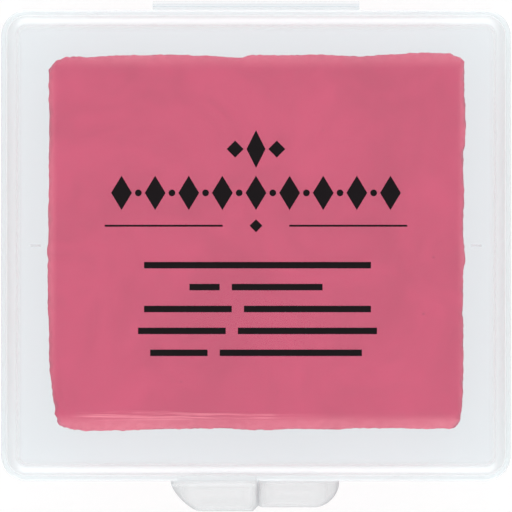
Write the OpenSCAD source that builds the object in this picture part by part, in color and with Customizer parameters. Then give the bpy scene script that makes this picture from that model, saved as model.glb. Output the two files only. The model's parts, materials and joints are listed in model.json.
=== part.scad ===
// Kneaded eraser in its hinged case
//
// A slab of kneadable putty lies in a frosted plastic case. The case is moulded in one go: a deep base
// and a shallow lid, joined along the back by a web thin enough to bend. A bead on the base's lip snaps
// into a groove in the lid, and a thumb tab on each half, side by side at the front, prises them apart.
//
// The origin is the middle of the case's underside, +Y is the hinge side and +Z is up.

/* [Putty slab] */
// Width of the slab
eraser_w = 40; // [25:0.5:60]
// Depth of the slab
eraser_d = 36.1; // [20:0.1:50]
// Thickness of the slab
eraser_h = 10; // [6:0.5:16]
// Plan radius of the slab's corners
eraser_corner_r = 1.3; // [0.8:0.1:3]
// Rounding of the slab's top and bottom edges
eraser_edge_r = 0.7; // [0.3:0.05:0.8]
// How far the slab's sides and top wander from true
eraser_wave = 0.1; // [0:0.02:0.25]
// How far the slab's front left corner is pushed in
eraser_push = 0.75; // [0:0.05:1]
// How far back the push reaches
push_reach = 6; // [3:0.5:10]
// Length over which the push dies out
push_fade = 5; // [2:0.5:8]
// How far the slab lies from the case's middle, to the right
eraser_right = 0.1; // [-1:0.05:1]
// How far the slab lies from the case's middle, towards the hinge
eraser_back = 0.35; // [-1:0.05:1]

/* [Case] */
// Room between the slab and the left and right walls
side_gap = 3.1; // [1.5:0.1:6]
// Room between the slab and the front and back walls
end_gap = 3.2; // [1.5:0.1:6]
// Room between the slab and the lid
head_room = 0.8; // [0.4:0.1:3]
// How far the slab stands out of the open base
grip_h = 3.1; // [1:0.1:4.5]
// Thickness of the side walls
wall_t = 0.9; // [0.7:0.05:1.4]
// Thickness of the base's floor
floor_t = 0.9; // [0.6:0.05:1.6]
// Thickness of the lid's top
top_t = 0.9; // [0.6:0.05:1.6]
// Plan radius inside the case's corners
inside_r = 1.1; // [1:0.1:4]
// Rounding of the outer edges of the floor and the top
edge_r = 1; // [0.4:0.05:1.2]
// Rounding where the walls meet the floor and the top inside
fillet_r = 0.5; // [0.2:0.05:0.7]
// Lean of the walls, so that the moulding leaves its mould
lean = 1.5; // [0:0.25:2.5]

/* [Floor marks] */
// Length of the low mark on the floor at each side of the slab
mark_w = 1; // [0.5:0.1:2]
// Width of each mark
mark_d = 0.2; // [0.1:0.05:0.5]
// Height of each mark above the floor
mark_h = 0.1; // [0.05:0.01:0.3]
// How far the middle of each mark lies from the slab's side
mark_off = 1.3; // [0.7:0.1:2.5]

/* [Rim] */
// How far the rim stands out from the wall
rim_out = 0.5; // [0.3:0.05:1]
// Height of the rim on each half
rim_h = 1; // [0.6:0.05:1.6]
// Rounding of the rim's outer edge
rim_r = 0.2; // [0.1:0.05:0.25]

/* [Lip and snap] */
// Thickness of the base's lip
lip_t = 0.45; // [0.35:0.05:0.6]
// Height of the lip above the rim
lip_h = 0.8; // [0.6:0.05:1.2]
// Slope at the lip's leading edge
lip_chamfer = 0.12; // [0.05:0.01:0.2]
// Room between the lip and the lid
lip_clear = 0.15; // [0.1:0.01:0.25]
// Length of the snap bead
bead_w = 12; // [6:0.5:18]
// Radius of the snap bead
bead_r = 0.25; // [0.18:0.01:0.3]
// Room round the bead in its groove
bead_clear = 0.1; // [0.05:0.01:0.15]

/* [Hinge] */
// Length of the hinge along the back
hinge_w = 19.9; // [10:0.1:24]
// How far each half's land stands out from the rim
land_out = 0.37; // [0.2:0.01:0.8]
// Thickness of each land
land_t = 0.5; // [0.4:0.02:0.8]
// Thickness of the web that bends
web_t = 0.25; // [0.18:0.01:0.35]

/* [Thumb tabs] */
// Width of the lid's tab
lid_tab_w = 8.5; // [6.5:0.1:11]
// How far the lid's tab stands out
lid_tab_out = 2.9; // [2.8:0.1:4.5]
// Width of the base's tab
base_tab_w = 7.95; // [6.5:0.05:11]
// How far the base's tab stands out
base_tab_out = 2.55; // [2.5:0.05:4.5]
// Thickness of both tabs
tab_t = 1.5; // [1.3:0.05:2]
// Plan radius of the lid tab's outer corner
lid_tab_r = 2.7; // [1.5:0.1:2.75]
// Plan radius of the base tab's outer corner
base_tab_r = 2.3; // [1.5:0.1:2.45]
// How far in from both sides a flat cuts across the lid tab's outer corner
lid_tab_cut = 1.15; // [0.8:0.05:1.3]
// Plan radius of a tab's inner corner
tab_inner_r = 0.7; // [0.65:0.05:1]
// Rounding of a tab's upper edge
tab_edge_r = 0.6; // [0.3:0.05:0.6]
// Rounding of a tab's lower edge
tab_foot_r = 0.3; // [0.1:0.05:0.4]
// Length over which a tab falls away at its outer end
tab_fall_w = 1.8; // [1:0.1:2.4]
// How far a tab falls away at its outer end
tab_fall = 0.8; // [0.3:0.05:0.9]
// Where the lid's tab ends, right of the middle
tab_split = 0.3; // [-1:0.05:1]
// How far the base's tab reaches under the end of the lid's
tab_overlap = 0.25; // [0:0.05:0.3]
// Length of the thumb hollow in each tab
hollow_w = 5.4; // [3:0.1:5.6]
// Depth of the thumb hollow
hollow_depth = 0.2; // [0.1:0.02:0.35]

/* [Print on the lid] */
// Thickness of the ink
ink_t = 0.04; // [0.03:0.01:0.1]
// Length of the longest printed row
print_w = 29; // [20:0.5:36]
// Height of the lozenges in the band
lozenge_h = 3.3; // [2:0.1:4]
// Lozenges in the band
lozenge_count = 9; // [5:2:13]
// Height of the dashes in the rows
dash_h = 0.62; // [0.4:0.02:1]
// Distance from one row of dashes to the next
row_pitch = 2.1; // [1.5:0.05:2.5]

/* [Hidden] */
$fn = 48;

// Steps in each rounding of a moulded section
round_steps = 6;
// How deep a piece is set into the one it is moulded to
bite = 0.2;

// The case follows from the slab and the room round it
case_w = eraser_w + 2 * (side_gap + wall_t + rim_out);
case_d = eraser_d + 2 * (end_gap + wall_t + rim_out);
base_h = floor_t + eraser_h - grip_h;
lid_h = grip_h + head_room + top_t;
case_h = base_h + lid_h;
corner_r = inside_r + wall_t + rim_out;

// The lip stands on the inner part of the wall, and the lid has a rebate for it
lip_x = inside_r + lip_t;
rebate_x = lip_x + lip_clear;
rebate_h = lip_h + lip_clear;
bead_z = lip_h / 2;

// Bent closed, the web is half a tube. Its middle layer keeps its length, so the lid turns about a line
// half that length behind the lands, and the web lies flat at 180 degrees.
web_mid_r = land_t - web_t / 2;
land_y = case_d / 2 + land_out;
pivot_y = land_y + PI * web_mid_r / 2;

// The gate's vestige stands in a dimple, so that the floor lies flat
gate_y = 9;
gate_r = 1.5;
gate_depth = floor_t / 3;
vestige_r = 0.45;
vestige_h = gate_depth / 2;

// The marks lie on the line between front and back, on the floor beside the slab
mark_x = eraser_w / 2 + mark_off;

clear_plastic = [0.90, 0.92, 0.94, 0.55];

// ---- Moulded shells ----

// Points along an arc
function arc(centre, r, from, to) = [
    for (i = [0:round_steps])
        let (a = from + (to - from) * i / round_steps)
        centre + r * [cos(a), sin(a)]
];

// Centre of a circle of radius r that touches a leaning wall and the level at its foot. The wall stands
// at top_x where its height is h.
function foot_centre(top_x, h, level, r) = [
    top_x - (h - level - r * (1 - sin(lean))) * tan(lean) - r * cos(lean),
    level + r
];

// Section of half a case from the axis of its corner outwards, with its skin down. The mating points
// run from the rim's top to the inner wall.
function shell_section(h, skin, mating) = concat(
    [[0, 0]],
    arc(foot_centre(corner_r - rim_out, h - rim_h, 0, edge_r), edge_r, -90, -lean),
    [[corner_r - rim_out, h - rim_h]],
    arc([corner_r - rim_r, h - rim_h + rim_r], rim_r, -90, 0),
    [[corner_r, h]],
    mating,
    arc(foot_centre(inside_r, h, skin, fillet_r), fillet_r, -lean, -90),
    [[0, skin]]
);

// The base's rim carries a lip
function lip_points(h) = [
    [lip_x, h],
    [lip_x, h + lip_h - lip_chamfer],
    [lip_x - lip_chamfer, h + lip_h],
    [inside_r, h + lip_h],
    [inside_r, h]
];

// The lid's rim is cut back to take it
function rebate_points(h) = [
    [rebate_x, h],
    [rebate_x, h - rebate_h],
    [inside_r - rebate_h * tan(lean), h - rebate_h]
];

// Sweeps a section round the case: four straight walls, four corners and the panel between them
module swept_shell(section, skin) {
    span_x = case_w - 2 * corner_r;
    span_y = case_d - 2 * corner_r;
    translate([-span_x / 2, -span_y / 2, 0]) cube([span_x, span_y, skin]);
    for (side = [0, 1]) {
        rotate([0, 0, 180 * side]) translate([span_x / 2, span_y / 2, 0]) {
            rotate([90, 0, 0]) linear_extrude(span_y) polygon(section);
            rotate_extrude(angle = 90) polygon(section);
        }
        rotate([0, 0, 90 + 180 * side]) translate([span_y / 2, span_x / 2, 0]) {
            rotate([90, 0, 0]) linear_extrude(span_x) polygon(section);
            rotate_extrude(angle = 90) polygon(section);
        }
    }
}

// A bar along the front of the lip, as the bead and as its groove
module snap_bar(length, r) {
    translate([-length / 2, -(case_d / 2 - corner_r + lip_x), 0])
        rotate([0, 90, 0]) cylinder(h = length, r = r);
}

// The land that carries one edge of the web, with its face at z = 0
module hinge_land() {
    translate([-hinge_w / 2, case_d / 2 - bite, -land_t])
        cube([hinge_w, land_out + bite, land_t]);
}

// ---- Thumb tabs ----

// Section of a tab from inside to its rounded edge
module tab_section(run) {
    polygon(concat(
        [[0, 0]],
        arc([run - tab_foot_r, tab_foot_r], tab_foot_r, -90, 0),
        arc([run - tab_edge_r, tab_t - tab_edge_r], tab_edge_r, 0, 90),
        [[0, tab_t]]
    ));
}

// One rounded corner of a tab and the short side behind it, at the tab's right
module tab_end(r, out, root) {
    translate([-r, r - out, 0]) {
        rotate([0, 0, -90]) rotate_extrude(angle = 90) tab_section(r);
        translate([0, out - r + root, 0]) rotate([90, 0, 0])
            linear_extrude(out - r + root) tab_section(r);
    }
}

// Section along a tab, whose top falls away in a quarter of an ellipse at its outer end
module fall_section(width) {
    polygon(concat(
        [[-bite, -bite]],
        [[-bite, tab_t + bite], [width - tab_fall_w, tab_t + bite]],
        [
            for (i = [0:2 * round_steps])
                let (a = 90 * i / (2 * round_steps))
                [width - tab_fall_w * (1 - sin(a)), tab_t - tab_fall * (1 - cos(a))]
        ],
        [[width + bite, tab_t - tab_fall], [width + bite, -bite]]
    ));
}

// A tab that stands out from the front of the case, its underside at z = 0 and its outer corner at the
// right, with a hollow for the thumb on top. Its root reaches through the rim into the wall. A flat may cut
// across the outer corner.
module thumb_tab(width, out, outer_r, cut = 0) {
    root = rim_out + bite;
    hollow_out = out - tab_edge_r - bite;
    hollow_r = (pow(hollow_out / 2, 2) + pow(hollow_depth, 2)) / (2 * hollow_depth);
    difference() {
        intersection() {
            union() {
                translate([width, 0, 0]) tab_end(outer_r, out, root);
                mirror([1, 0, 0]) tab_end(tab_inner_r, out, root);
                translate([width - outer_r, root, 0]) rotate([0, 0, -90]) rotate([90, 0, 0])
                    linear_extrude(width - outer_r - tab_inner_r) tab_section(out + root);
            }
            translate([0, root + bite, 0]) rotate([90, 0, 0])
                linear_extrude(out + root + 2 * bite) fall_section(width);
        }
        translate([tab_inner_r, -hollow_out / 2 - bite, tab_t + hollow_r - hollow_depth])
            rotate([0, 90, 0]) cylinder(h = hollow_w, r = hollow_r, $fn = 96);
        if (cut > 0)
            translate([width, -out, -bite]) linear_extrude(tab_t + 2 * bite)
                polygon([[bite, 2 * cut + bite], [-2 * cut - bite, -bite], [bite, -bite]]);
    }
}

// ---- The pieces ----

module case_base() {
    color(clear_plastic) {
        difference() {
            union() {
                swept_shell(shell_section(base_h, floor_t, lip_points(base_h)), floor_t);
                translate([0, 0, base_h + bead_z]) snap_bar(bead_w, bead_r);
                translate([0, 0, base_h]) hinge_land();
                translate([tab_split - tab_overlap, -case_d / 2, base_h - tab_t])
                    thumb_tab(base_tab_w, base_tab_out, base_tab_r);
                for (side = [-1, 1])
                    translate([side * mark_x - mark_w / 2, -mark_d / 2, floor_t - bite])
                        cube([mark_w, mark_d, mark_h + bite]);
            }
            translate([0, gate_y, -bite]) cylinder(h = gate_depth + bite, r = gate_r);
        }
        translate([0, gate_y, gate_depth - vestige_h])
            cylinder(h = vestige_h + bite, r = vestige_r);
    }
}

module case_lid() {
    color(clear_plastic)
        difference() {
            union() {
                translate([0, 0, case_h]) mirror([0, 0, 1])
                    swept_shell(shell_section(lid_h, top_t, rebate_points(lid_h)), top_t);
                translate([0, 0, base_h]) mirror([0, 0, 1]) hinge_land();
                translate([tab_split, -case_d / 2, base_h])
                    mirror([1, 0, 0]) thumb_tab(lid_tab_w, lid_tab_out, lid_tab_r, lid_tab_cut);
            }
            translate([0, 0, base_h + bead_z])
                snap_bar(bead_w + 2 * bead_clear, bead_r + bead_clear);
        }
}

// The web, bent as it is with the case shut
module living_hinge() {
    color(clear_plastic)
        translate([-hinge_w / 2, land_y, base_h]) rotate([0, 90, 0]) intersection() {
            difference() {
                cylinder(h = hinge_w, r = land_t);
                translate([0, 0, -bite]) cylinder(h = hinge_w + 2 * bite, r = land_t - web_t);
            }
            translate([-land_t, 0, 0]) cube([2 * land_t, land_t, hinge_w]);
        }
}

// ---- The putty slab ----

// Points round the slab on each side and in each corner
side_steps = 9;
turn_steps = 5;

// A level of the slab: an outline drawn in by inset, at height z
function slab_level(inset, z) =
    let (
        r = max(eraser_corner_r - inset, 0.2),
        half = [eraser_w / 2 - inset - r, eraser_d / 2 - inset - r],
        corners = [for (side = [[1, 1], [-1, 1], [-1, -1], [1, -1]]) [side.x * half.x, side.y * half.y]]
    ) [
        for (turn = [0:3])
            let (
                at = corners[turn],
                next = corners[(turn + 1) % 4],
                edge = r * [cos(90 * turn + 90), sin(90 * turn + 90)]
            )
            each concat(
                [
                    for (i = [0:turn_steps])
                        let (a = 90 * (turn + i / turn_steps))
                        kneaded([at.x + r * cos(a), at.y + r * sin(a), z])
                ],
                [
                    for (i = [1:side_steps - 1])
                        let (p = at + (next - at) * i / side_steps + edge)
                        kneaded([p.x, p.y, z])
                ]
            )
    ];

// How far a point gives way to the push on the front left corner, which dies out to the right and to the back
function give(p) =
    let (t = min(max((push_reach - eraser_d / 2 - p.y) / push_fade, 0), 1))
    eraser_push * max(-2 * p.x / eraser_w, 0) * t * t * (3 - 2 * t);

// Hand-cut putty is nowhere quite true: its sides wander, and its top is a little uneven
function kneaded(p) = [
    p.x + give(p) + eraser_wave * (sin(17 * p.y + 60) + 0.6 * sin(41 * p.y + 10)),
    p.y + eraser_wave * (sin(14 * p.x + 200) + 0.5 * sin(37 * p.x + 120)),
    p.z + eraser_wave * (p.z / eraser_h) * sin(9 * p.x + 40) * sin(11 * p.y + 70)
];

module eraser() {
    round_in = [for (i = [0:4]) eraser_edge_r * (1 - sin(22.5 * i))];
    round_up = [for (i = [0:4]) eraser_edge_r * (1 - cos(22.5 * i))];
    top_z = eraser_h - eraser_wave;
    inner = [for (share = [0.25, 0.5, 0.75]) share * min(eraser_w, eraser_d) / 2];
    levels = concat(
        [for (inset = [inner[2], inner[1], inner[0]]) slab_level(inset, 0)],
        [for (i = [0:4]) slab_level(round_in[i], round_up[i])],
        [for (share = [0.3, 0.5, 0.7]) slab_level(0, share * top_z)],
        [for (i = [4:-1:0]) slab_level(round_in[i], top_z - round_up[i])],
        [for (inset = inner) slab_level(inset, top_z)]
    );
    n = len(levels[0]);
    last = len(levels) - 1;
    middle = [kneaded([0, 0, 0]), kneaded([0, 0, top_z])];
    color([0.85, 0.42, 0.50])
        translate([eraser_right, eraser_back, floor_t])
            polyhedron(
                points = concat([for (level = levels) each level], middle),
                faces = [
                    for (k = [0:last - 1], i = [0:n - 1])
                        let (a = k * n + i, b = k * n + (i + 1) % n)
                        each [[a, a + n, b], [b, a + n, b + n]],
                    for (i = [0:n - 1])
                        let (j = (i + 1) % n)
                        each [[i, j, n * (last + 1)], [last * n + j, last * n + i, n * (last + 1) + 1]]
                ]
            );
}

// ---- The print ----

// Plain ornament in place of words. Rows of dashes, as shares of the longest row: where each dash
// starts and ends.
dash_rows = [
    [[0.13, 0.88]],
    [[0.28, 0.38], [0.42, 0.72]],
    [[0.13, 0.42], [0.46, 0.88]],
    [[0.11, 0.40], [0.44, 0.90]],
    [[0.15, 0.34], [0.38, 0.85]]
];

module lozenge(w, h) {
    polygon([[w / 2, 0], [0, h / 2], [-w / 2, 0], [0, -h / 2]]);
}

module bar(from, to, h) {
    translate([from, -h / 2]) square([to - from, h]);
}

// A tall lozenge with a small one on each side
module emblem() {
    h = 1.1 * lozenge_h;
    lozenge(h / 2, h);
    for (side = [-1, 1]) translate([0.55 * side * h, 0]) lozenge(0.45 * h, 0.45 * h);
}

// Lozenges with a dot between each pair
module lozenge_band() {
    pitch = print_w / lozenge_count;
    for (i = [0:lozenge_count - 1])
        translate([pitch * (i + 0.5) - print_w / 2, 0]) lozenge(0.62 * pitch, lozenge_h);
    for (i = [1:lozenge_count - 1])
        translate([pitch * i - print_w / 2, 0]) circle(0.1 * pitch, $fn = 24);
}

module dash_block() {
    for (row = [0:len(dash_rows) - 1])
        for (dash = dash_rows[row])
            translate([0, -row * row_pitch])
                bar(print_w * (dash[0] - 0.5), print_w * (dash[1] - 0.5), dash_h);
}

module lid_print() {
    rule_h = 0.3 * dash_h;
    color([0.12, 0.08, 0.10])
        translate([0, 0, case_h]) linear_extrude(ink_t) {
            translate([0, 2.2 * row_pitch + 1.4 * lozenge_h]) emblem();
            translate([0, 2.4 * row_pitch]) lozenge_band();
            translate([0, 0.9 * row_pitch]) {
                for (side = [0, 1]) mirror([side, 0]) bar(0.11 * print_w, print_w / 2, rule_h);
                lozenge(2 * dash_h, 2 * dash_h);
            }
            translate([0, -0.9 * row_pitch]) dash_block();
        }
}

case_base();
eraser();
living_hinge();
case_lid();
lid_print();
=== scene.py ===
"""Kneaded eraser in its hinged case.

Shapes the two halves of the case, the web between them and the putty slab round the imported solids,
gives each its finish and sets the stage. A piece is shaped in millimetres and brought to metres when it
is done, because edit mode rounds off lengths as short as the edges of a moulding.
"""

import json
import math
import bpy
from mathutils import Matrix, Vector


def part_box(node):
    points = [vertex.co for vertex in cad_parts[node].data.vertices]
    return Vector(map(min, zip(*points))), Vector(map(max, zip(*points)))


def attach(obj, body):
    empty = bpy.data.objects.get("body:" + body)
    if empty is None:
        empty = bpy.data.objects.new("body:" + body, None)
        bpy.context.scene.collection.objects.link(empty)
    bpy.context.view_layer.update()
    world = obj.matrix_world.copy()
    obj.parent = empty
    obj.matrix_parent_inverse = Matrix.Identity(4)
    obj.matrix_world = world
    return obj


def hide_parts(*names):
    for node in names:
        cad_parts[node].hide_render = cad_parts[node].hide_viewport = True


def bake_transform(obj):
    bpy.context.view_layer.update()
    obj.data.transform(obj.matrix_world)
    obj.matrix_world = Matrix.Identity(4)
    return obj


bl_info = {
    "name": "Kneaded Eraser Case",
    "version": (1, 0, 0),
    "blender": (4, 5, 0),
    "location": "View3D > Sidebar > Eraser Case",
    "description": "A slab of kneadable putty in a frosted case with a living hinge and thumb tabs",
    "category": "Add Mesh",
}

import bmesh
import bpy
from mathutils import Vector, noise

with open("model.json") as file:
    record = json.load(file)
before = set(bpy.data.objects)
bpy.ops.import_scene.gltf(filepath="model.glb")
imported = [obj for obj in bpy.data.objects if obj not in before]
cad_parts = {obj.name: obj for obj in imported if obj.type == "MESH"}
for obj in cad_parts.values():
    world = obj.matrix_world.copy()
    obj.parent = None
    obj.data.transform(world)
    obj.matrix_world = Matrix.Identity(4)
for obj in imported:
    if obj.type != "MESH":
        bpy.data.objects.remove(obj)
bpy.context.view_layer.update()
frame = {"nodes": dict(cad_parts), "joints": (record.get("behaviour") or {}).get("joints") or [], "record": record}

MM = 1000.0  # millimetres in a metre
HINGE = frame["joints"][0]
COLOURS = {m["slot"]: m["base_color"] for m in frame["record"]["materials"]}
PARTING = HINGE["pos_m"][2] * MM  # height at which the case parts
CASE_MIDDLE_Y = -0.00101  # middle of the case with its tabs and hinge, in metres
TINY = 1e-4  # mm


# ---- Sizes and colours ----


def length(name, description, mm, low, high):
    """A length property, given in millimetres."""
    return bpy.props.FloatProperty(
        name=name,
        description=description,
        default=mm / MM,
        min=low / MM,
        max=high / MM,
        unit="LENGTH",
        precision=5,
    )


def share(name, description, default):
    """A property between nothing and all."""
    return bpy.props.FloatProperty(
        name=name, description=description, default=default, min=0, max=1, subtype="FACTOR"
    )


def colour(name, description, default):
    """A colour property."""
    return bpy.props.FloatVectorProperty(
        name=name,
        description=description,
        default=tuple(default)[:3],
        min=0,
        max=1,
        size=3,
        subtype="COLOR",
    )


class CaseSettings(bpy.types.PropertyGroup):
    """Sizes and finish of the moulded case."""

    inside_radius: length("Inside radius", "Plan radius inside the case's corners", 1.1, 1, 4)
    wall: length("Wall", "Thickness of the side walls", 0.9, 0.7, 1.4)
    skin: length("Skin", "Thickness of the floor and the top", 0.9, 0.6, 1.6)
    edge_radius: length("Edge radius", "Rounding of the outer edges", 1.0, 0.4, 1.2)
    fillet_radius: length("Fillet radius", "Rounding where walls meet floor and top", 0.5, 0.2, 0.7)
    lean: bpy.props.FloatProperty(
        name="Lean",
        description="Lean of the walls",
        default=math.radians(1.5),
        min=0,
        max=0.05,
        subtype="ANGLE",
    )
    rim_out: length("Rim projection", "How far the rim stands out from the wall", 0.5, 0.3, 1)
    rim_height: length("Rim height", "Height of the rim on each half", 1.0, 0.6, 1.6)
    lip_thickness: length("Lip thickness", "Thickness of the base's lip", 0.45, 0.35, 0.6)
    lip_height: length("Lip height", "Height of the lip above the rim", 0.8, 0.6, 1.2)
    lip_gap: length("Lip gap", "Room between the lip and the lid", 0.15, 0.1, 0.25)
    land_out: length("Land projection", "How far each hinge land stands out", 0.37, 0.2, 0.8)
    land: length("Land thickness", "Thickness of each hinge land", 0.5, 0.4, 0.8)
    web: length("Web thickness", "Thickness of the web that bends", 0.25, 0.18, 0.35)
    tab_thickness: length("Tab thickness", "Thickness of both thumb tabs", 1.5, 1.3, 2)
    milk: colour("Milk", "Colour that the plastic's faces scatter", (0.93, 0.99, 1.0))
    solid_milk: colour("Solid milk", "Colour that the tabs' solid plastic scatters", (0.67, 0.695, 0.705))
    haze: share("Haze", "Share of light that each face scatters when looked at straight on", 0.025)
    ink: colour("Ink", "Colour of the print on the lid", COLOURS["ink"])


class SlabSettings(bpy.types.PropertyGroup):
    """Shape and colour of the putty slab."""

    corner: length("Corner size", "Size of the slab's corners, of which each takes its share", 1, 0.6, 1.5)
    edge_radius: length("Edge radius", "Rounding of the top and bottom edges", 0.45, 0.3, 1)
    unevenness: share("Unevenness", "How far sides and top wander, as a share of a millimetre", 0.14)
    putty: colour("Putty", "Colour of the putty", COLOURS["putty"])


class StageSettings(bpy.types.PropertyGroup):
    """Camera, floor and lamps."""

    picture_width: length("Picture width", "Width of the picture at the rim", 49.25, 40, 200)
    lens: bpy.props.FloatProperty(
        name="Lens",
        description="Focal length, long so that the walls don't splay",
        default=1000,
        min=50,
        max=5000,
    )
    floor: colour("Floor", "Colour of the floor", (0.94, 0.94, 0.94))
    lamp_power: bpy.props.FloatProperty(
        name="Lamp power", description="Power of each softbox", default=2.3, min=0, max=20, unit="POWER"
    )
    sky: share("Sky", "Light that comes evenly from all round", 0.5)


# ---- Modelling helpers ----


def clear_selection():
    """Leaves edit mode and deselects everything."""
    if bpy.context.object and bpy.context.object.mode != "OBJECT":
        bpy.ops.object.mode_set(mode="OBJECT")
    bpy.ops.object.select_all(action="DESELECT")


def take(obj):
    """Makes one object the only one selected."""
    clear_selection()
    bpy.context.view_layer.objects.active = obj
    obj.select_set(True)
    return obj


def settle():
    """Moves the active object's place, turn and size into its mesh."""
    bpy.ops.object.transform_apply(location=True, rotation=True, scale=True)


def block(name, low, high):
    """A block between two corners, in edit mode."""
    clear_selection()
    low, high = Vector(low), Vector(high)
    bpy.ops.mesh.primitive_cube_add(size=1, location=(low + high) / 2, scale=high - low)
    settle()
    obj = bpy.context.object
    obj.name = obj.data.name = name
    bpy.ops.object.mode_set(mode="EDIT")
    return obj


def rod(name, length_mm, radius, centre, across=True, sides=24):
    """A rod along X, or upright when it isn't across, in object mode."""
    clear_selection()
    turn = (0, math.pi / 2, 0) if across else (0, 0, 0)
    bpy.ops.mesh.primitive_cylinder_add(
        vertices=sides, radius=radius, depth=length_mm, location=centre, rotation=turn
    )
    settle()
    obj = bpy.context.object
    obj.name = obj.data.name = name
    return obj


def edited():
    """The mesh in edit mode."""
    return bmesh.from_edit_mesh(bpy.context.edit_object.data)


def pick(kind, test):
    """Selects the points, edges or faces that pass a test, and nothing else."""
    bpy.ops.mesh.select_mode(type=kind)
    bpy.ops.mesh.select_all(action="DESELECT")
    shape = edited()
    parts = {"VERT": shape.verts, "EDGE": shape.edges, "FACE": shape.faces}[kind]
    for part in filter(test, parts):
        part.select_set(True)
    shape.select_flush_mode()
    bmesh.update_edit_mesh(bpy.context.edit_object.data)


def upright(edge):
    """True for an edge that runs straight up."""
    a, b = (v.co for v in edge.verts)
    return (a - b).to_2d().length < TINY


def level_at(z):
    """A test for an edge that lies flat at height z."""
    return lambda edge: all(abs(v.co.z - z) < TINY for v in edge.verts)


def looking(way):
    """A test for a flat face that looks straight up (1) or down (-1)."""
    return lambda face: face.normal.z * way > 0.999


def arc(centre, radius, start, end, steps):
    """Points along an arc, between two angles in degrees."""
    return [
        (centre[0] + radius * math.cos(math.radians(a)), centre[1] + radius * math.sin(math.radians(a)))
        for a in (start + (end - start) * i / steps for i in range(steps + 1))
    ]


def slice_along(axis, start, end, count):
    """Cuts the mesh in edit mode into slices of equal width along an axis."""
    normal = Vector([float(i == axis) for i in range(3)])
    for i in range(1, count):
        bpy.ops.mesh.select_all(action="SELECT")
        bpy.ops.mesh.bisect(plane_co=normal * (start + (end - start) * i / count), plane_no=normal)


def follow(way, points):
    """Carries the picked flat face along a profile. A point is how far from the corner's centre and how high;
    way is 1 for a face that looks up and -1 for one that looks down."""
    for (x, z), (next_x, next_z) in zip(points, points[1:]):
        if x - next_x > TINY:
            bpy.ops.mesh.inset(thickness=x - next_x, depth=way * (next_z - z))
        elif abs(next_z - z) > TINY:
            bpy.ops.mesh.extrude_region_move(TRANSFORM_OT_translate={"value": (0, 0, next_z - z)})


def join_solid(obj, other, operation="UNION"):
    """Adds another closed solid to this one, or cuts it out, and removes it."""
    take(obj)
    modifier = obj.modifiers.new("Join", "BOOLEAN")
    modifier.object = other
    modifier.operation = operation
    modifier.solver = "EXACT"
    bpy.ops.object.modifier_apply(modifier=modifier.name)
    bpy.data.objects.remove(other)


def tidy_mesh():
    """Merges doubled points of the active object and turns its faces outwards."""
    bpy.ops.object.mode_set(mode="EDIT")
    bpy.ops.mesh.select_all(action="SELECT")
    bpy.ops.mesh.remove_doubles(threshold=TINY)
    bpy.ops.mesh.normals_make_consistent(inside=False)
    bpy.ops.object.mode_set(mode="OBJECT")


def finish_piece(obj, material, crease=32, weigh=True):
    """Brings a piece from millimetres to metres, smooths it and gives it its finish."""
    take(obj)
    tidy_mesh()
    obj.scale = (1 / MM,) * 3
    settle()
    bpy.ops.object.shade_smooth_by_angle(angle=math.radians(crease))
    if weigh:
        modifier = obj.modifiers.new("Weigh", "WEIGHTED_NORMAL")
        modifier.keep_sharp = True
        bpy.ops.object.modifier_apply(modifier=modifier.name)
    obj.data.materials.clear()
    obj.data.materials.append(material)
    return obj


def smooth_step(low, high, value):
    """0 below low, 1 above high and a smooth rise between."""
    t = min(max((value - low) / (high - low), 0), 1)
    return t * t * (3 - 2 * t)


# ---- Finishes ----


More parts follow.
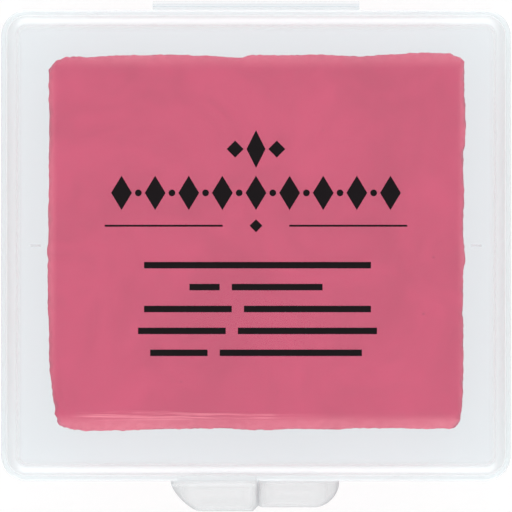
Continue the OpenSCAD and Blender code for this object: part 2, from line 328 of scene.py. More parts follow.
class Nodes:
    """Short calls for building a material's nodes."""

    def __init__(self, name):
        self.material = bpy.data.materials.new(name)
        self.material.use_nodes = True
        self.tree = self.material.node_tree
        self.tree.nodes.clear()
        self.place = self.add("ShaderNodeTexCoord").outputs["Object"]

    def add(self, kind, inputs=(), **options):
        """A node with its options and inputs set. An input is a value or another node's socket."""
        node = self.tree.nodes.new(kind)
        for name, value in options.items():
            setattr(node, name, value)
        for name, value in dict(inputs).items():
            if isinstance(value, bpy.types.NodeSocket):
                self.tree.links.new(value, node.inputs[name])
            else:
                node.inputs[name].default_value = value
        return node

    def noise(self, scale, detail=3.0, roughness=0.5, distortion=0.0, at=None):
        """Noise on the object's own coordinates, as a factor."""
        inputs = {"Vector": at or self.place, "Scale": scale, "Detail": detail}
        inputs.update({"Roughness": roughness, "Distortion": distortion})
        return self.add("ShaderNodeTexNoise", inputs).outputs["Fac"]

    def ranged(self, value, low, high, out_low, out_high):
        """A value carried smoothly from one range to another."""
        return self.add(
            "ShaderNodeMapRange",
            {"Value": value, "From Min": low, "From Max": high, "To Min": out_low, "To Max": out_high},
            interpolation_type="SMOOTHSTEP",
        ).outputs["Result"]

    def maths(self, operation, a, b=0.0, c=0.0):
        """One step of arithmetic."""
        return self.add("ShaderNodeMath", {0: a, 1: b, 2: c}, operation=operation).outputs[0]

    def blend(self, factor, a, b):
        """Two colours mixed. Each is a colour or another node's socket, and goes into socket 6 or 7, which
        are the colours A and B."""
        a, b = (c if isinstance(c, bpy.types.NodeSocket) else (*c, 1) for c in (a, b))
        return self.add("ShaderNodeMix", {"Factor": factor, 6: a, 7: b}, data_type="RGBA").outputs[2]

    def mark(self, name):
        """A mark that was left on the mesh's points, from 0 to 1."""
        return self.add("ShaderNodeAttribute", attribute_name=name).outputs["Fac"]

    def stretched(self, x, y, z):
        """The object's own coordinates, scaled along each axis."""
        return self.add("ShaderNodeMapping", {"Vector": self.place, "Scale": (x, y, z)}).outputs[0]

    def bump(self, height, strength, distance, under=None):
        """A bump from a height, over another bump if one is given."""
        inputs = {"Height": height, "Strength": strength, "Distance": distance}
        if under:
            inputs["Normal"] = under
        return self.add("ShaderNodeBump", inputs).outputs["Normal"]

    def mixed(self, factor, a, b):
        """Two shaders mixed."""
        return self.add("ShaderNodeMixShader", {0: factor, 1: a, 2: b}).outputs[0]

    def show(self, shader):
        """Sends a shader to the output and returns the material."""
        self.tree.links.new(shader, self.add("ShaderNodeOutputMaterial").inputs["Surface"])
        return self.material


def frosted_plastic(settings):
    """Frosted polypropylene: clear when looked at straight on, milky along its edges and where solid."""
    n = Nodes("frosted_plastic")
    facing = n.add("ShaderNodeLayerWeight", {"Blend": 0.5}).outputs["Facing"]
    bulk, inside, edge = n.mark("bulk"), n.mark("inside"), n.mark("edge")

    # The share of light that is scattered: more at a grazing look, less for that on the matt inner faces
    grazing = n.maths("MULTIPLY_ADD", inside, -0.23, 0.28)
    grazing = n.maths("MULTIPLY", n.maths("POWER", facing, 4.0), grazing)
    solid = n.maths("ADD", n.maths("POWER", facing, 0.5), 0.07)
    solid = n.maths("MINIMUM", solid, 0.68)
    haze = n.maths("MULTIPLY_ADD", bulk, solid, n.maths("ADD", grazing, settings.haze))
    haze = n.maths("MULTIPLY_ADD", edge, 0.28, haze)

    # What passes takes a faint tint from flat faces, edges and solid parts, and none at a grazing look
    passed = n.blend(edge, (0.975, 0.986, 0.993), (0.9885, 0.996, 1.0))
    passed = n.blend(bulk, passed, (0.966, 0.972, 0.976))
    passed = n.blend(n.maths("POWER", facing, 2.0), passed, (1.0, 1.0, 1.0))
    scattered = n.blend(bulk, settings.milk, settings.solid_milk)
    clear = n.add("ShaderNodeBsdfTransparent", {"Color": passed}).outputs[0]
    milk = n.add("ShaderNodeBsdfDiffuse", {"Color": scattered}).outputs[0]
    glow = n.add("ShaderNodeBsdfTranslucent", {"Color": scattered}).outputs[0]
    through = n.maths("MULTIPLY_ADD", edge, -0.1, 0.4)
    body = n.mixed(haze, clear, n.mixed(through, milk, glow))

    # Only the polished outer faces shine, and their edges most
    inner = n.maths("MAXIMUM", inside, n.add("ShaderNodeNewGeometry").outputs["Backfacing"])
    sheen = n.maths("MINIMUM", n.add("ShaderNodeFresnel", {"IOR": 1.38}).outputs[0], 0.35)
    sheen = n.maths("MULTIPLY_ADD", edge, 0.11, sheen)
    sheen = n.maths("MULTIPLY", sheen, n.maths("SUBTRACT", 1.0, inner))
    ripple = n.bump(n.noise(90, 2), 0.03, 0.0001)
    grain = n.bump(n.noise(5200, 2), 0.04, 0.00001, ripple)
    shine = {"Color": (1, 1, 1, 1), "Roughness": 0.36, "Normal": grain}
    gloss = n.add("ShaderNodeBsdfGlossy", shine).outputs[0]
    return n.show(n.mixed(sheen, body, gloss))


def kneaded_putty(settings):
    """Kneadable putty: matt and faintly mottled, with a painted highlight along its edges, pale streaks and dark
    specks.
    """
    n = Nodes("kneaded_putty")
    base = Vector(settings.putty)
    # pale is the colour of the painted highlight on the edges, and of the streaks
    pale = base + Vector((0.3, 0.19, 0.18))

    # A faint mottle, then a painted highlight that makes the edges pale, thin pale streaks and a few dark specks
    mottle = n.ranged(n.noise(110, 6, 0.7, 0.6), 0.3, 0.7, 0, 1)
    tint = n.blend(mottle, base * 0.9, base * 1.06)
    patches = n.ranged(n.noise(1500, 3, 0.6), 0.35, 0.65, 0.75, 1)
    # Painted highlight: the marked edges are painted pale, broken up in patches
    tint = n.blend(n.maths("MULTIPLY", n.mark("wear"), patches), tint, pale)
    lines = n.ranged(n.noise(1, 3, 0.6, at=n.stretched(110, 4200, 110)), 0.48, 0.6, 0, 0.95)
    tint = n.blend(n.maths("MULTIPLY", n.mark("streak"), lines), tint, pale)
    cells = n.add("ShaderNodeTexVoronoi", {"Vector": n.place, "Scale": 270}).outputs["Distance"]
    tint = n.blend(n.ranged(cells, 0.02, 0.045, 0.6, 0), tint, base * 0.45)

    # Soft lumps with a finer skin over them
    lumps = n.bump(n.noise(300, 3, 0.5), 0.3, 0.0002)
    skin = n.bump(n.noise(1800, 3), 0.02, 0.00003, lumps)
    dull = n.ranged(n.noise(400, 3), 0.3, 0.7, 0.52, 0.66)
    shader = n.add("ShaderNodeBsdfPrincipled", {"Base Color": tint, "Roughness": dull, "Normal": skin})
    shader.inputs["Specular IOR Level"].default_value = 0.25
    return n.show(shader.outputs[0])


def printed_ink(settings):
    """Thin printed ink with a slight sheen."""
    n = Nodes("printed_ink")
    grain = n.bump(n.noise(9000, 2), 0.1, 0.00001)
    base = Vector(settings.ink)
    tint = n.blend(n.noise(900, 3), base * 0.8, base * 1.3)
    shader = n.add("ShaderNodeBsdfPrincipled", {"Base Color": tint, "Normal": grain})
    shader.inputs["Roughness"].default_value = 0.5
    shader.inputs["Specular IOR Level"].default_value = 0.08
    return n.show(shader.outputs[0])


def mark_points(obj, name, value):
    """Leaves a mark on each point of a mesh, worked out from where the point is in millimetres."""
    layer = obj.data.attributes.new(name, "FLOAT", "POINT")
    for v in obj.data.vertices:
        layer.data[v.index].value = value(v.co * MM)


def finish_named(name, make, settings):
    """A finish, made when it is first asked for."""
    return bpy.data.materials.get(name) or make(settings)


# ---- The case ----


# The bead on the lip and its groove: how long each is and its radius
BEAD = (12, 0.25)
GROOVE = (12.2, 0.35)
# The gate under the floor: where it is in y, the dimple's radius and depth, and the stub's radius and height
GATE = (9, 1.5, 0.3, 0.45, 0.15)
# How far the edges of the rim and of the mating face are rounded
RIM_EDGE = 0.2
MATING_EDGE = 0.07
SUNK = 0.2  # how deep a tab or a land lies in the wall it grows from, so that the two join
# How milky the strap of the hinge is, where 1 is the solid plastic of the tabs
STRAP_BULK = 0.03
# The low marks on the floor: how far each lies from the middle, its length, width and height
FLOOR_MARK = (21.3, 1.0, 0.2, 0.1)
# Each thumb tab: where it starts and ends in x, how far it reaches out of the front wall, its outer and its
# inner corner, and the hollow for the thumb. A corner is where it is in x, its size, and its profile, where
# 0.25 is a flat cut and 0.5 is round. The hollow is where it starts, where it is full, and how deep it is.
BASE_TAB = {
    "span": (0.05, 8.0),
    "reach": 2.55,
    "outer": (8.0, 2.3, 0.46),
    "inner": (0.05, 0.6, 0.5),
    "hollow": (0.1, 1.1, 0.08),
}
LID_TAB = {
    "span": (-8.2, 0.3),
    "reach": 2.9,
    "outer": (-8.2, 2.7, 0.365),
    "inner": (0.3, 0.6, 0.25),
    "hollow": (0.25, 0.65, 0.17),
}
FLAT_CUT = 0.25
# How a tab's top falls away towards its outer and its inner end: over which width, and how far
OUTER_FALL = (3.6, 1.1)
INNER_FALL = (2.0, 0.8)
TAB_EDGES = (0.4, 0.2)  # how far a tab's top and bottom edges are rounded
TAB_FOOT = 0.3  # how much of a tab's thickness, from below, keeps its height


class CaseSizes:
    """The case's sizes in millimetres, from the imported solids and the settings."""

    def __init__(self, settings):
        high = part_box("case_base")[1] * MM
        for name in CaseSettings.__annotations__:
            value = getattr(settings, name)
            is_length = isinstance(value, float) and name not in ("lean", "haze")
            setattr(self, name, value * MM if is_length else value)
        self.half_x = high.x
        self.half_y = high.y - self.land_out
        self.land_y = high.y
        self.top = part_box("case_lid")[1].z * MM
        self.corner = self.inside_radius + self.wall + self.rim_out
        self.lip_x = self.inside_radius + self.lip_thickness
        self.rebate_x = self.lip_x + self.lip_gap
        self.rebate_h = self.lip_height + self.lip_gap
        self.hinge_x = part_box("living_hinge")[1].x * MM
        self.bead_y = -(self.half_y - self.corner + self.lip_x)

    def depth(self, p):
        """How far a point lies inside the outline of the rim, seen from above."""
        past_x = max(abs(p.x) - self.half_x + self.corner, 0)
        past_y = max(abs(p.y) - self.half_y + self.corner, 0)
        return self.corner - Vector((past_x, past_y)).length


def wall_foot(c, top_x, height, level, radius, start, end):
    """Points down a leaning wall and round its foot to a level."""
    slope = math.tan(c.lean)
    centre = (
        top_x - (height - level - radius * (1 - math.sin(c.lean))) * slope - radius * math.cos(c.lean),
        level + radius,
    )
    return arc(centre, radius, start, end, 8)


def moulded_half(name, c, height, mating):
    """Half a case, skin down: a rim plate drawn down into walls and a skin, then hollowed from above."""
    obj = block(name, (-c.half_x, -c.half_y, height - c.rim_height), (c.half_x, c.half_y, height))
    pick("EDGE", upright)
    bpy.ops.mesh.bevel(offset=c.corner, segments=12, profile=0.5, affect="EDGES")
    rim = height - c.rim_height
    lean = math.degrees(c.lean)
    pick("FACE", looking(-1))
    outer = [(c.corner, rim), (c.corner - c.rim_out, rim)]
    outer += wall_foot(c, c.corner - c.rim_out, rim, 0, c.edge_radius, -lean, -90)
    outer.append((outer[-1][0] - 0.4, 0))
    follow(-1, outer)
    pick("FACE", looking(1))
    inner = [(c.corner, height), *mating]
    inner += wall_foot(c, c.inside_radius, height, c.skin, c.fillet_radius, -lean, -90)
    follow(1, inner)

    def on_outline(edge):
        return all(c.depth(v.co) < 0.01 for v in edge.verts)

    for level, size, segments in ((rim, RIM_EDGE, 4), (height, MATING_EDGE, 2)):
        pick("EDGE", lambda edge: level_at(level)(edge) and on_outline(edge))
        bpy.ops.mesh.bevel(offset=size, segments=segments, profile=0.5, affect="EDGES")
    bpy.ops.object.mode_set(mode="OBJECT")
    return obj


def quarter_fall(away, width, drop):
    """How far a top falls at a distance from its end, along a quarter of an ellipse."""
    past = max(1 - away / width, 0)
    return drop * (1 - math.sqrt(1 - past * past))


def thumb_tab(c, tab, z):
    """A thumb tab from the case's front wall outwards, with its underside at height z."""
    (low, high), reach = tab["span"], tab["reach"]
    hollow_start, hollow_full, hollow_depth = tab["hollow"]
    root = -c.half_y + c.rim_out + SUNK
    tip = -c.half_y - reach
    top = z + c.tab_thickness
    foot = z + TAB_FOOT
    obj = block("tab", (low, tip, z), (high, root, top))
    for x, size, profile in (tab["outer"], tab["inner"]):
        at_corner = lambda v: v.co.y < tip + TINY and abs(v.co.x - x) < TINY
        pick("EDGE", lambda edge: upright(edge) and all(at_corner(v) for v in edge.verts))
        segments = 14 if profile > FLAT_CUT else 1
        bpy.ops.mesh.bevel(offset=size, segments=segments, profile=profile, affect="EDGES")
    for level, size in zip((top, z), TAB_EDGES):
        pick("EDGE", lambda edge: level_at(level)(edge) and any(v.co.y < root - TINY for v in edge.verts))
        bpy.ops.mesh.bevel(offset=size, segments=6, profile=0.5, affect="EDGES")
    # Thin slices, so that the top can fall and be hollowed smoothly
    for axis, start, end in ((0, low, high), (1, tip, root)):
        slice_along(axis, start, end, round((end - start) / 0.25))
    for v in edited().verts:
        out = -c.half_y - v.co.y
        from_outer, from_inner = abs(v.co.x - tab["outer"][0]), abs(v.co.x - tab["inner"][0])
        # The hollow runs out before it comes to the tip and to the two ends
        dish = hollow_depth * smooth_step(hollow_start, hollow_full, out)
        dish *= 1 - smooth_step(reach - 1.4, reach - 0.35, out)
        dish *= smooth_step(0.4, 1.4, from_inner) * smooth_step(1.4, 3.2, from_outer)
        fall = quarter_fall(from_outer, *OUTER_FALL) + quarter_fall(from_inner, *INNER_FALL)
        if v.co.z > foot:
            v.co.z = foot + (v.co.z - foot) * (1 - (dish + fall) / (top - foot))
    bmesh.update_edit_mesh(obj.data)
    bpy.ops.object.mode_set(mode="OBJECT")
    return obj


def mark_moulding(obj, c, outer_z, inward, tab):
    """Marks where a moulding is solid and milky, where an edge gathers light, and which faces are the matt
    ones inside the case. outer_z is the height of the flat outer side, and inward the way in from there."""

    def bulk(p):
        # A tab is clearer at its tip and, on the lid, in the groove at its root, where the clearer band is a
        # painted highlight line
        out = -c.half_y - p.y
        clear = 0.3 * smooth_step(tab["reach"] - 0.35, tab["reach"] - 0.1, out)
        if inward < 0:
            # Painted highlight: a clearer band across the root of the lid's tab lets the white floor show through
            # as a bright line
            clear = max(clear, 0.7 * smooth_step(0.25, 0.4, out) * (1 - smooth_step(0.45, 0.6, out)))
        in_tab = smooth_step(-0.1, 0.15, out) * (1 - clear)
        return max(in_tab, STRAP_BULK * smooth_step(0, 0.1, p.y - c.half_y))

    def inside(p):
        in_case = c.depth(p) > 1.3 and (p.z - outer_z) * inward > 0.6 * c.skin
        return float(in_case or p.y > c.half_y + 0.01)

    def edge(p):
        low = 1 - smooth_step(c.skin, c.skin + 0.5, (p.z - outer_z) * inward)
        rim = 1 - smooth_step(c.tab_thickness, c.tab_thickness + 0.3, abs(p.z - PARTING))
        middle, length_x, length_y, _ = FLOOR_MARK
        on_mark = abs(abs(p.x) - middle) < length_x / 2 + 0.1 and abs(p.y) < length_y / 2 + 0.05
        on_mark = on_mark and c.skin + 0.05 < p.z < 2 * c.skin
        near_wall = smooth_step(-0.3, 0, c.depth(p)) * (1 - smooth_step(1.3, 1.85, c.depth(p)))
        return max(low, rim) * (1 - 0.6 * inside(p)) * near_wall + on_mark

    for name, value in (("bulk", bulk), ("edge", edge), ("inside", inside)):
        mark_points(obj, name, value)


def hinge_land(c, low_z, high_z):
    """The land along the back that carries one edge of the web."""
    obj = block("land", (-c.hinge_x, c.half_y - SUNK, low_z), (c.hinge_x, c.land_y, high_z))
    pick("EDGE", lambda edge: all(v.co.y > c.land_y - TINY for v in edge.verts) and upright(edge))
    bpy.ops.mesh.bevel(offset=0.06, segments=2, profile=0.5, affect="EDGES")
    bpy.ops.object.mode_set(mode="OBJECT")
    return obj


class MESH_OT_eraser_case_base(bpy.types.Operator):
    """Mould the deep half of the case, with its lip, bead, hinge land and thumb tab"""

    bl_idname = "mesh.eraser_case_base"
    bl_label = "Case Base"
    bl_options = {"REGISTER", "UNDO"}

    def execute(self, context):
        settings = context.scene.eraser_case
        c = CaseSizes(settings)
        lip = [
            (c.lip_x, PARTING),
            (c.lip_x, PARTING + c.lip_height - 0.12),
            (c.lip_x - 0.12, PARTING + c.lip_height),
            (c.inside_radius, PARTING + c.lip_height),
            (c.inside_radius, PARTING),
        ]
        obj = moulded_half("case_base_shell", c, PARTING, lip)
        join_solid(obj, rod("bead", *BEAD, (0, c.bead_y, PARTING + c.lip_height / 2)))
        join_solid(obj, hinge_land(c, PARTING - c.land, PARTING))
        join_solid(obj, thumb_tab(c, BASE_TAB, PARTING - c.tab_thickness))
        # The gate: a dimple under the floor with the stub of the sprue in it
        gate_y, radius, depth, stub_radius, stub_height = GATE
        dimple = rod("dimple", 1.0, radius, (0, gate_y, depth - 0.5), across=False, sides=40)
        join_solid(obj, dimple, "DIFFERENCE")
        stub_z = depth - stub_height + 0.2  # 0.4 long, so that it reaches into the floor
        join_solid(obj, rod("stub", 0.4, stub_radius, (0, gate_y, stub_z), across=False, sides=20))
        middle, length_x, length_y, rise = FLOOR_MARK
        for side in (-1, 1):
            low = (side * middle - length_x / 2, -length_y / 2, c.skin - SUNK)
            high = (side * middle + length_x / 2, length_y / 2, c.skin + rise)
            join_solid(obj, block("floor_mark", low, high))
        finish_piece(obj, finish_named("frosted_plastic", frosted_plastic, settings))
        mark_moulding(obj, c, 0, 1, BASE_TAB)
        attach(obj, "base")
        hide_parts("case_base")
        return {"FINISHED"}


class MESH_OT_eraser_case_lid(bpy.types.Operator):
    """Mould the shallow half of the case, with its rebate, groove, hinge land and thumb tab"""

    bl_idname = "mesh.eraser_case_lid"
    bl_label = "Case Lid"
    bl_options = {"REGISTER", "UNDO"}

    def execute(self, context):
        settings = context.scene.eraser_case
        c = CaseSizes(settings)
        height = c.top - PARTING
        rebate = [
            (c.rebate_x, height),
            (c.rebate_x, height - c.rebate_h),
            (c.inside_radius - c.rebate_h * math.tan(c.lean), height - c.rebate_h),
        ]
        obj = moulded_half("case_lid_shell", c, height, rebate)
        obj.scale.z = -1
        obj.location.z = c.top
        settle()
        tidy_mesh()
        groove = rod("groove", *GROOVE, (0, c.bead_y, PARTING + c.lip_height / 2))
        join_solid(obj, groove, "DIFFERENCE")
        join_solid(obj, hinge_land(c, PARTING, PARTING + c.land))
        join_solid(obj, thumb_tab(c, LID_TAB, PARTING))
        finish_piece(obj, finish_named("frosted_plastic", frosted_plastic, settings))
        mark_moulding(obj, c, c.top, -1, LID_TAB)
        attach(obj, "lid")
        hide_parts("case_lid")
        return {"FINISHED"}


class MESH_OT_eraser_web(bpy.types.Operator):
    """Bend the web of the living hinge round from land to land"""

    bl_idname = "mesh.eraser_web"
    bl_label = "Hinge Web"
    bl_options = {"REGISTER", "UNDO"}

    def execute(self, context):
        settings = context.scene.eraser_case
        c = CaseSizes(settings)
        sunk = 0.08  # how deep the web's ends lie in the lands
        low_z = PARTING - c.land
        obj = block("hinge_web", (-c.hinge_x, c.land_y - sunk, low_z), (c.hinge_x, c.land_y, low_z + c.web))
        pick("FACE", lambda face: face.normal.y > 0.999)
        bpy.ops.mesh.spin(
            steps=24, angle=-math.pi, center=(0, c.land_y, PARTING), axis=(1, 0, 0), dupli=False
        )
        bpy.ops.mesh.extrude_region_move(TRANSFORM_OT_translate={"value": (0, -sunk, 0)})
        slice_along(0, -c.hinge_x, c.hinge_x, 20)
        bpy.ops.object.mode_set(mode="OBJECT")
        material = finish_named("frosted_plastic", frosted_plastic, settings)
        finish_piece(obj, material, weigh=False)
        mark_points(obj, "bulk", lambda p: STRAP_BULK)
        mark_points(obj, "inside", lambda p: 1.0)
        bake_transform(obj)
        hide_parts("living_hinge")
        return {"FINISHED"}


# ---- The putty ----


# How far each side of the slab stands out from true, in millimetres, along its length
RIGHT_SIDE = (
    (-17.2, -0.5), (-16, -0.34), (-14, -0.28), (-12, -0.24), (-8.5, -0.22), (-6.8, -0.28),
    (-3.2, -0.26), (-2, -0.12), (-0.6, -0.12), (0.9, -0.24), (4, -0.2), (8.2, -0.26), (9.6, -0.04),
    (11.8, 0), (14.5, -0.12), (18.4, -0.16),
)
LEFT_SIDE = (
    (-17.2, -0.86), (-16.6, -0.68), (-16.1, -0.72), (-15, -0.46), (-13.7, -0.3), (-12.6, -0.2),
    (-11, -0.08), (-8.2, -0.05), (-6.2, 0.06), (-2.2, 0.06), (1, 0), (5, -0.06), (12, -0.1),
    (14, -0.02), (16.6, -0.06), (18.4, -0.2),
)
BACK_SIDE = (
    (-19, -0.36), (-15, -0.34), (-14.1, -0.2), (-11, -0.15), (-8.4, -0.1), (-5.2, -0.22),
    (-1.6, -0.37), (-0.4, -0.18), (4.2, -0.16), (5, -0.12), (9.6, -0.26), (11, -0.24), (13, -0.12),
    (15.9, 0.08), (17.6, 0.06), (18.3, 0.04), (19.8, -0.42),
)
FRONT_SIDE = (
    (-18.9, -0.26), (-18.3, -0.1), (-17.7, -0.1), (-17, 0.06), (-15, 0.04), (-12.5, 0), (-9, -0.13),
    (-3.3, -0.17), (-0.3, -0.04), (1.3, 0), (3.4, -0.12), (8, -0.1), (9.4, -0.2), (13.4, -0.2),
    (15.8, -0.13), (19.4, -0.16),
)
# The slab's corners: which side and which end each is at, its share of the corner size, and its profile
SLAB_CORNERS = ((1, 1, 0.45, 0.45), (-1, 1, 1.25, 0.32), (-1, -1, 0.75, 0.4), (1, -1, 0.95, 0.42))
SLAB_HALF = Vector((20, 18.05))  # half of the slab's true width and depth
SLAB_CENTRE = Vector((0.1, 0.35))  # where its middle lies in the case
STREAK_Y = -16.4  # where the pale streaks lie
DENT_X = -19  # where the dent along the left side lies


def toward_side(value, half, inner, outer):
    """0 up to a distance from a side, 1 from a nearer one, and a smooth rise between."""
    return smooth_step(half - inner, half - outer, abs(value))


def along(points, place):
    """The value at a place along a side, carried smoothly from point to point."""
    if place <= points[0][0]:
        return points[0][1]
    for (start, value), (end, next_value) in zip(points, points[1:]):
        if place <= end:
            return value + (next_value - value) * smooth_step(start, end, place)
    return points[-1][1]


def crumb(x, y, z, size, seed):
    """Unevenness of a given size in millimetres, between -1 and 1."""
    return noise.noise(Vector((x / size + seed, y / size - seed, z / size)))


class MESH_OT_eraser_slab(bpy.types.Operator):
    """Cut the slab of putty and let its sides and top wander as hand-cut putty does"""

    bl_idname = "mesh.eraser_slab"
    bl_label = "Putty Slab"
    bl_options = {"REGISTER", "UNDO"}

    def execute(self, context):
        settings = context.scene.eraser_slab
        low, high = (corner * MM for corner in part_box("eraser"))
        corner, edge = settings.corner * MM, settings.edge_radius * MM
        half = SLAB_HALF
        floor, top = low.z + 0.05, high.z - 0.12  # room for the wander of both faces
        obj = block("putty_slab", (-half.x, -half.y, floor), (half.x, half.y, top))
        for side, end, part, profile in SLAB_CORNERS:
            at_corner = lambda v: v.co.x * side > half.x - 0.01 and v.co.y * end > half.y - 0.01
            pick("EDGE", lambda edge: upright(edge) and all(at_corner(v) for v in edge.verts))
            bpy.ops.mesh.bevel(offset=part * corner, segments=6, profile=profile, affect="EDGES")
        for level, segments in ((top, 4), (floor, 2)):
            pick("EDGE", level_at(level))
            bpy.ops.mesh.bevel(offset=edge, segments=segments, profile=0.5, affect="EDGES")
        slice_along(0, -half.x, half.x, 42)
        slice_along(1, -half.y, half.y, 38)
        slice_along(2, floor, top, 5)
        bpy.ops.object.mode_set(mode="OBJECT")
        modifier = obj.modifiers.new("Refine", "SUBSURF")
        modifier.subdivision_type = "SIMPLE"
        modifier.levels = modifier.render_levels = 2
        bpy.ops.object.modifier_apply(modifier=modifier.name)
        self.let_wander(obj, floor, top, settings.unevenness)
        material = finish_named("kneaded_putty", kneaded_putty, settings)
        finish_piece(obj, material, crease=60, weigh=False)
        self.mark_wear(obj, top)
        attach(obj, "base")
        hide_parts("eraser")
        return {"FINISHED"}

    def let_wander(self, obj, floor, top, uneven):
        """Moves the slab's sides and top out of true and presses a dent along its left side."""
        half, centre = SLAB_HALF, SLAB_CENTRE
        for v in obj.data.vertices:
            x, y, z = v.co
            up = (z - floor) / (top - floor)
            side = toward_side(x, half.x, 5, 0) * (1 if x > 0 else -1)
            end = toward_side(y, half.y, 5, 0) * (1 if y > 0 else -1)
            rim = toward_side(x, half.x, 1.6, 0.4) + toward_side(y, half.y, 1.6, 0.4)
            rim *= smooth_step(0.2, 0.9, up)
            # The sides follow their tables, with lumps and chips on top
            lump = crumb(x, y, z, 4.5, 3)
            chip = 0.6 * crumb(x, y, z, 1.3, 7) + crumb(x, y, z, 0.6, 11)
            ragged = uneven * (0.15 * lump + 1.1 * chip)
            v.co.x += side * (along(RIGHT_SIDE if side > 0 else LEFT_SIDE, y) + ragged) + centre.x
            v.co.y += end * (along(BACK_SIDE if end > 0 else FRONT_SIDE, x) + ragged) + centre.y
            # The top wanders up and down, lower along its chipped rim and in the dent
            wander = 0.7 * crumb(x, y, 0, 9, 5) + 0.25 * crumb(x, y, 0, 2.6, 9)
            v.co.z += up * uneven * (wander - 0.12 * rim * (1 + chip))
            dent = math.exp(-(((x - DENT_X + 0.1 * lump) / 0.28) ** 2)) * (1 - smooth_step(-13, -9, y))
            v.co.z -= 0.07 * up * dent

    def mark_wear(self, obj, top):
        """Marks the edges that get a painted highlight, strongest at the front, and the strip near the front that
        is streaked.
        """

        # A painted highlight along the top edges, stronger at the front and back than at the sides
        def wear(p):
            x, y = p.x - SLAB_CENTRE.x, p.y - SLAB_CENTRE.y
            slow = 0.8 + 0.3 * crumb(x, y, 0, 8, 17)
            front = 0.75 * (1 - smooth_step(0.5, 1.7, SLAB_HALF.y + y))
            back = 0.5 * (1 - smooth_step(0.2, 1.6, SLAB_HALF.y - y))
            sides = 0.5 * (1 - smooth_step(0.1, 0.9, SLAB_HALF.x - abs(x)))
            return smooth_step(top - 1.3, top - 0.2, p.z) * slow * max(front, back, sides)

        def streak(p):
            along_x = smooth_step(-18.5, -15, p.x) * (1 - smooth_step(1, 6, p.x))
            return along_x * (1 - smooth_step(0.15, 0.55, abs(p.y - STREAK_Y)))

        mark_points(obj, "wear", wear)
        mark_points(obj, "streak", streak)


# ---- The print ----


class MESH_OT_eraser_print(bpy.types.Operator):
    """Give the ornament on the lid its ink"""

    bl_idname = "mesh.eraser_print"
    bl_label = "Lid Print"
    bl_options = {"REGISTER", "UNDO"}

    def execute(self, context):
        ink = finish_named("printed_ink", printed_ink, context.scene.eraser_case)
        print_node = frame["nodes"]["lid_print"]
        for slot in print_node.material_slots:
            slot.material = ink
        # The ink lies so close to the putty that any shade it throws is too faint to be seen, and would
        # only speckle the putty
        print_node.visible_shadow = False
        print_node.visible_diffuse = False
        return {"FINISHED"}


# ---- The stage ----


FLOOR_LOW = 2e-5  # how far below the case the floor lies, in metres, so that the two don't share a plane
# Each softbox, in metres: how far in front of the case or behind it, how high, and its width and length
SOFTBOX_OUT = 0.5
SOFTBOX_UP = 0.34
SOFTBOX_SIZE = (0.7, 0.75)


def softbox(name, place, size, power):
    """A softbox that looks at the case."""
    lamp = bpy.data.lights.new(name, "AREA")
    lamp.shape = "RECTANGLE"
    lamp.size, lamp.size_y = size
    lamp.energy = power
    obj = bpy.data.objects.new(name, lamp)
    bpy.context.scene.collection.objects.link(obj)
    obj.location = place
    obj.rotation_euler = (-Vector(place)).to_track_quat("-Z", "Y").to_euler()
    return obj


def seen_rays(tree):
    """A socket that is 1 for what the camera, a mirror or glass sees, and 0 for lighting."""
    path = tree.nodes.new("ShaderNodeLightPath")
    total = path.outputs["Is Camera Ray"]
    for name in ("Is Glossy Ray", "Is Transmission Ray"):
        most = tree.nodes.new("ShaderNodeMath")
        most.operation = "MAXIMUM"
        tree.links.new(total, most.inputs[0])
        tree.links.new(path.outputs[name], most.inputs[1])
        total = most.outputs[0]
    return total


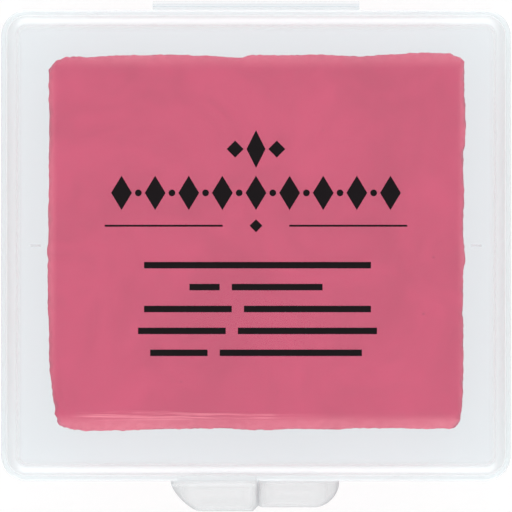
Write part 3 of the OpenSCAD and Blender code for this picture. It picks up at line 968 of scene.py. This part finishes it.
class SCENE_OT_eraser_stage(bpy.types.Operator):
    """Set the floor, the soft light and the camera that looks straight down"""

    bl_idname = "scene.eraser_stage"
    bl_label = "Stage"
    bl_options = {"REGISTER", "UNDO"}

    def execute(self, context):
        settings = context.scene.eraser_stage
        context.scene.view_settings.view_transform = "Standard"
        clear_selection()
        bpy.ops.mesh.primitive_circle_add(
            vertices=96, radius=6, fill_type="NGON", location=(0, 0, -FLOOR_LOW)
        )
        floor = context.object
        floor.name = floor.data.name = "floor"
        n = Nodes("pale_floor")
        # Lamps light the floor as plain paper, and what looks at it finds it nearly white
        paper = n.add("ShaderNodeBsdfDiffuse", {"Color": (*settings.floor, 1)}).outputs[0]
        white = n.add("ShaderNodeEmission", {"Color": (1, 1, 1, 1), "Strength": 1.05}).outputs[0]
        lit = n.mixed(n.maths("MULTIPLY", seen_rays(n.tree), 0.75), paper, white)
        # From below the floor is clear, so that the underside can be looked at
        from_below = n.add("ShaderNodeNewGeometry").outputs["Backfacing"]
        open_floor = n.add("ShaderNodeBsdfTransparent", {"Color": (1, 1, 1, 1)}).outputs[0]
        floor.data.materials.append(n.show(n.mixed(from_below, lit, open_floor)))

        world = bpy.data.worlds.new("studio")
        world.use_nodes = True
        context.scene.world = world
        background = world.node_tree.nodes["Background"]
        background.inputs["Color"].default_value = (1, 1, 1, 1)
        strength = world.node_tree.nodes.new("ShaderNodeMapRange")
        strength.inputs["To Min"].default_value = settings.sky
        strength.inputs["To Max"].default_value = 1.0
        world.node_tree.links.new(seen_rays(world.node_tree), strength.inputs["Value"])
        world.node_tree.links.new(strength.outputs[0], background.inputs["Strength"])

        for name, way in (("softbox_front", -1), ("softbox_back", 1)):
            softbox(name, (0, way * SOFTBOX_OUT, SOFTBOX_UP), SOFTBOX_SIZE, settings.lamp_power)

        camera = bpy.data.cameras.new("camera")
        camera.lens = settings.lens
        camera.sensor_width = 36
        camera.clip_start, camera.clip_end = 0.05, 30
        view = bpy.data.objects.new("camera", camera)
        context.scene.collection.objects.link(view)
        distance = settings.picture_width * settings.lens / camera.sensor_width
        view.location = (0, CASE_MIDDLE_Y, PARTING / MM + distance)
        context.scene.camera = view
        return {"FINISHED"}


# ---- Panel and registration ----


CASE_OPERATORS = (
    "mesh.eraser_case_base",
    "mesh.eraser_case_lid",
    "mesh.eraser_web",
    "mesh.eraser_print",
)


class VIEW3D_PT_eraser_case(bpy.types.Panel):
    """Sizes, colours and a button for each piece"""

    bl_idname = "VIEW3D_PT_eraser_case"
    bl_label = "Eraser Case"
    bl_space_type = "VIEW_3D"
    bl_region_type = "UI"
    bl_category = "Eraser Case"

    def draw(self, context):
        scene = context.scene
        for settings, operators in (
            (scene.eraser_case, CASE_OPERATORS),
            (scene.eraser_slab, ("mesh.eraser_slab",)),
            (scene.eraser_stage, ("scene.eraser_stage",)),
        ):
            box = self.layout.box()
            for name in type(settings).__annotations__:
                box.prop(settings, name)
            for operator in operators:
                box.operator(operator)


CLASSES = (
    CaseSettings,
    SlabSettings,
    StageSettings,
    MESH_OT_eraser_case_base,
    MESH_OT_eraser_case_lid,
    MESH_OT_eraser_web,
    MESH_OT_eraser_slab,
    MESH_OT_eraser_print,
    SCENE_OT_eraser_stage,
    VIEW3D_PT_eraser_case,
)


def register():
    """Registers the classes and hangs the settings on the scene."""
    for cls in CLASSES:
        bpy.utils.register_class(cls)
    bpy.types.Scene.eraser_case = bpy.props.PointerProperty(type=CaseSettings)
    bpy.types.Scene.eraser_slab = bpy.props.PointerProperty(type=SlabSettings)
    bpy.types.Scene.eraser_stage = bpy.props.PointerProperty(type=StageSettings)


def unregister():
    """Takes back what register did."""
    del bpy.types.Scene.eraser_stage
    del bpy.types.Scene.eraser_slab
    del bpy.types.Scene.eraser_case
    for cls in reversed(CLASSES):
        bpy.utils.unregister_class(cls)


def main():
    """Makes the pieces and the stage in order."""
    register()
    bpy.ops.mesh.eraser_case_base()
    bpy.ops.mesh.eraser_case_lid()
    bpy.ops.mesh.eraser_web()
    bpy.ops.mesh.eraser_slab()
    bpy.ops.mesh.eraser_print()
    bpy.ops.scene.eraser_stage()
    clear_selection()


if __name__ == "__main__":
    main()
